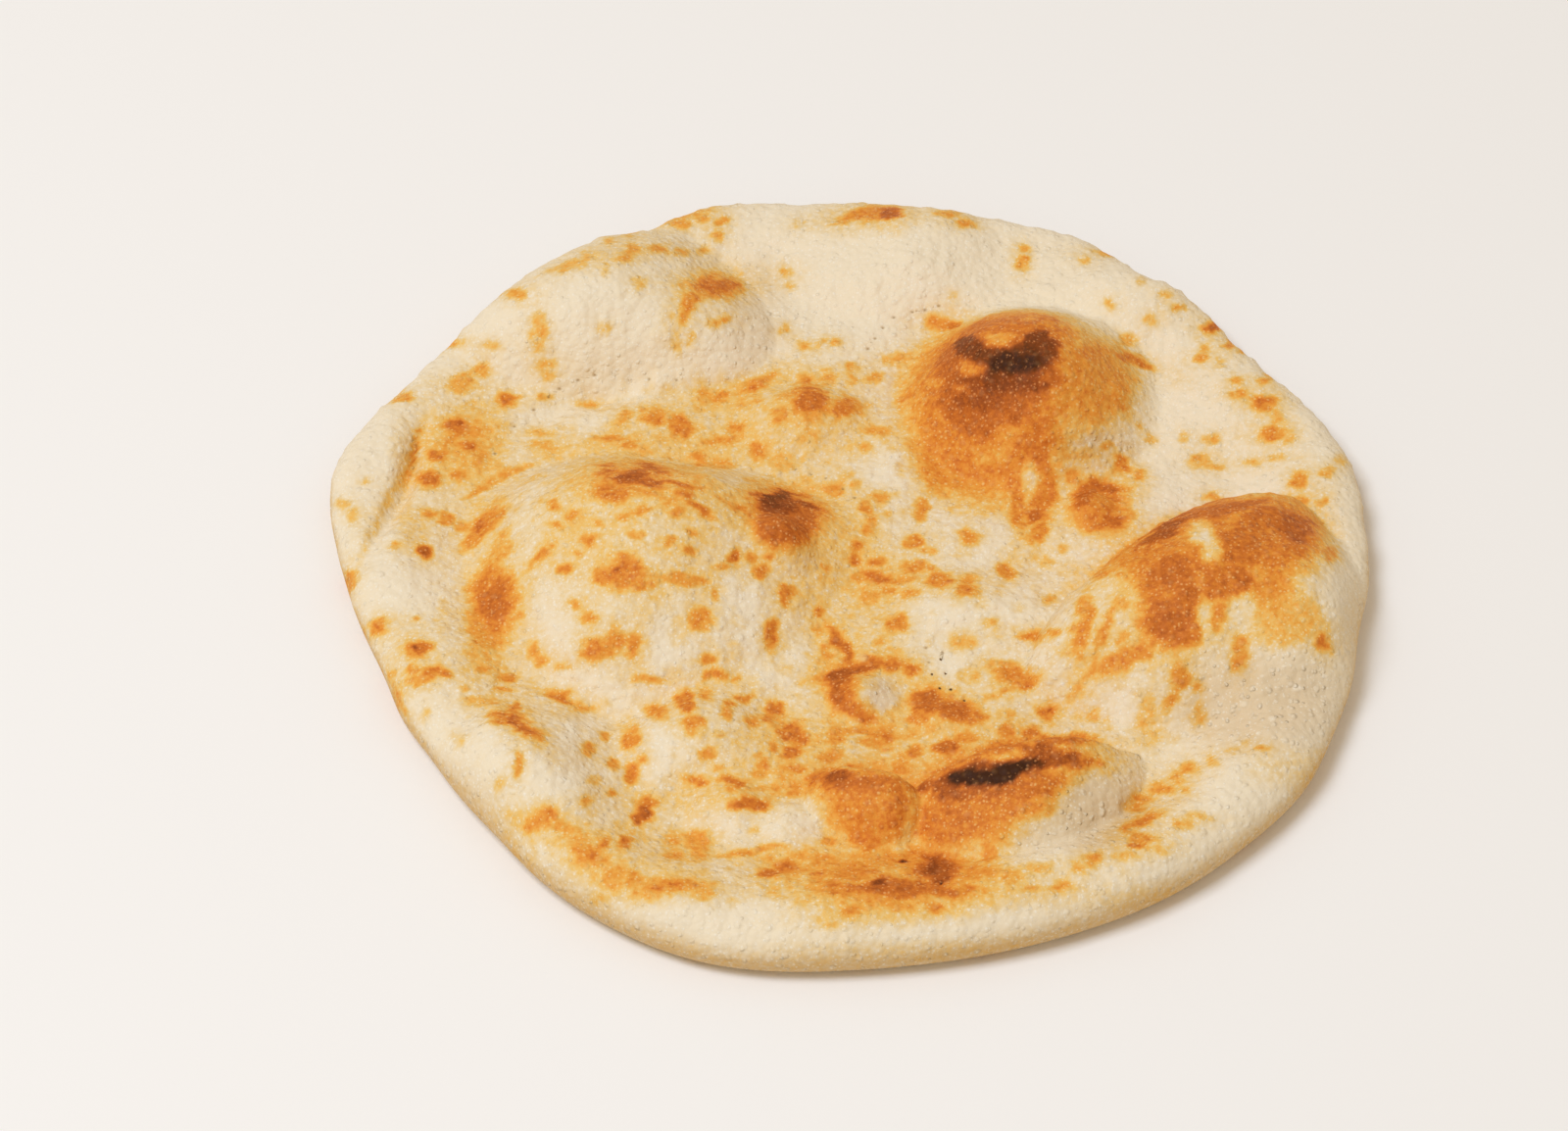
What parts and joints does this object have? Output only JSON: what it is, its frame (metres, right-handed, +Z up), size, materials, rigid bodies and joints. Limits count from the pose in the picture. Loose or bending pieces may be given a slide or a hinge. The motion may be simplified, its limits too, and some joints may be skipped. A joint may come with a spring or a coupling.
{
  "type": "naan",
  "caption": "Round tandoor-baked flatbread with a puffed rim, steam-raised domes browned and charred on top, a thin middle and a flat underside.",
  "frame": {"origin": "centre of the bread's bounding box, on the flat underside", "axes": "+Z up from the surface the bread lies on, -Y towards the viewer of the picture, +X to the right"},
  "size_m": [0.29, 0.2914, 0.0357],
  "materials": {
    "crust": "baked, pale with browned and charred spots"
  },
  "bodies": {
    "root": {"naan": "crust"}
  },
  "joints": []
}
